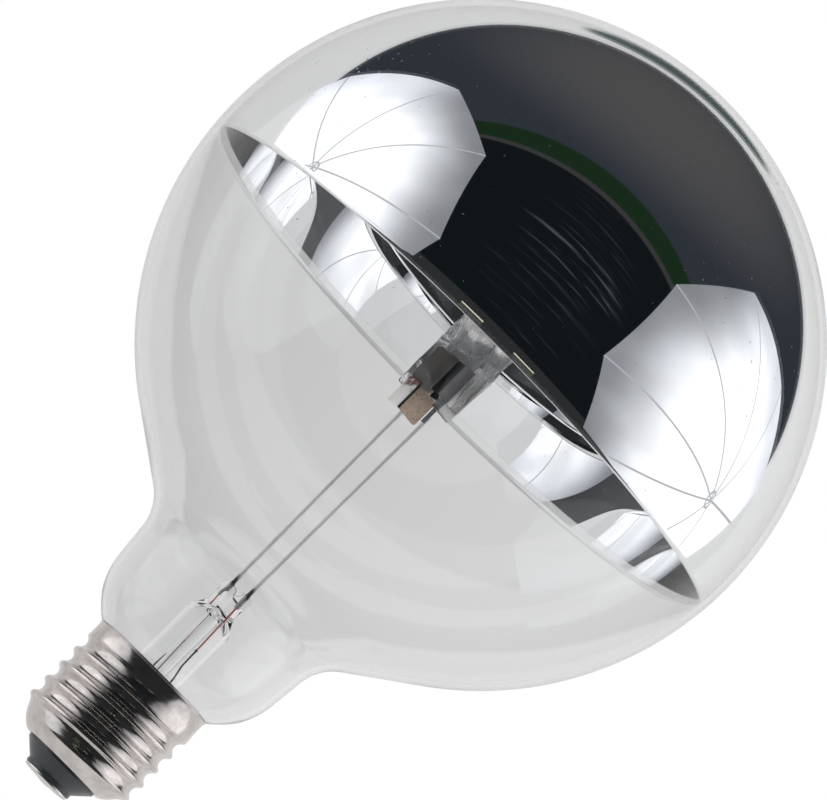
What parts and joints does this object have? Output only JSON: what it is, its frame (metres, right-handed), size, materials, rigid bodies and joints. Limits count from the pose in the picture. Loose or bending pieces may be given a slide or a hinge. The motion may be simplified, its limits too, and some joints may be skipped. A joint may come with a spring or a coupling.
{
  "type": "silver crown bulb",
  "caption": "Large globe lamp with a mirrored crown, clear neck, halogen capsule and a screw cap.",
  "frame": {"origin": "lowest point of the centre contact, on the lamp's axis", "axes": "+Z along the lamp's axis from the cap to the mirrored crown; the picture looks along +Y with +X to the right"},
  "size_m": [0.125, 0.125, 0.174],
  "materials": {
    "clear_glass": "clear blown glass with a faint grey cast",
    "silver_film": "bright silver film on the inside of the glass",
    "nickel_shell": "bright nickel-plated rolled sheet",
    "black_insulator": "satin black moulding",
    "contact_metal": "dull nickel plate",
    "solder": "dull tin solder",
    "cement": "matt pale brown cement",
    "stem_glass": "clear tube glass with pressed ripples",
    "copper_wire": "copper sheath, pink in the glass",
    "dark_wire": "dark oxidised wire",
    "nickel_wire": "bright drawn nickel, dark at the glass",
    "tab_metal": "sheet metal with a tan and purple heat tint",
    "quartz": "clear quartz, pinched with ripples",
    "foil": "dark grey foil",
    "tungsten": "grey drawn tungsten"
  },
  "bodies": {
    "root": {"glass_globe": "clear_glass", "crown_mirror": "silver_film", "screw_shell": "nickel_shell", "cap_insulator": "black_insulator", "centre_contact": "contact_metal", "contact_solder": "solder", "basing_cement": "cement", "side_solder": "solder", "stem_glass": "stem_glass", "exhaust_tube": "stem_glass", "seal_wire_left": "copper_wire", "seal_wire_right": "copper_wire", "outer_lead_centre": "dark_wire", "outer_lead_side": "dark_wire", "support_lead_left": "nickel_wire", "support_lead_right": "nickel_wire", "weld_tab_left": "tab_metal", "weld_strip_right": "tab_metal", "capsule_quartz": "quartz", "foil_left": "foil", "foil_right": "foil", "filament_pin_left": "tungsten", "filament_pin_right": "tungsten", "filament_coil": "tungsten"}
  },
  "joints": []
}
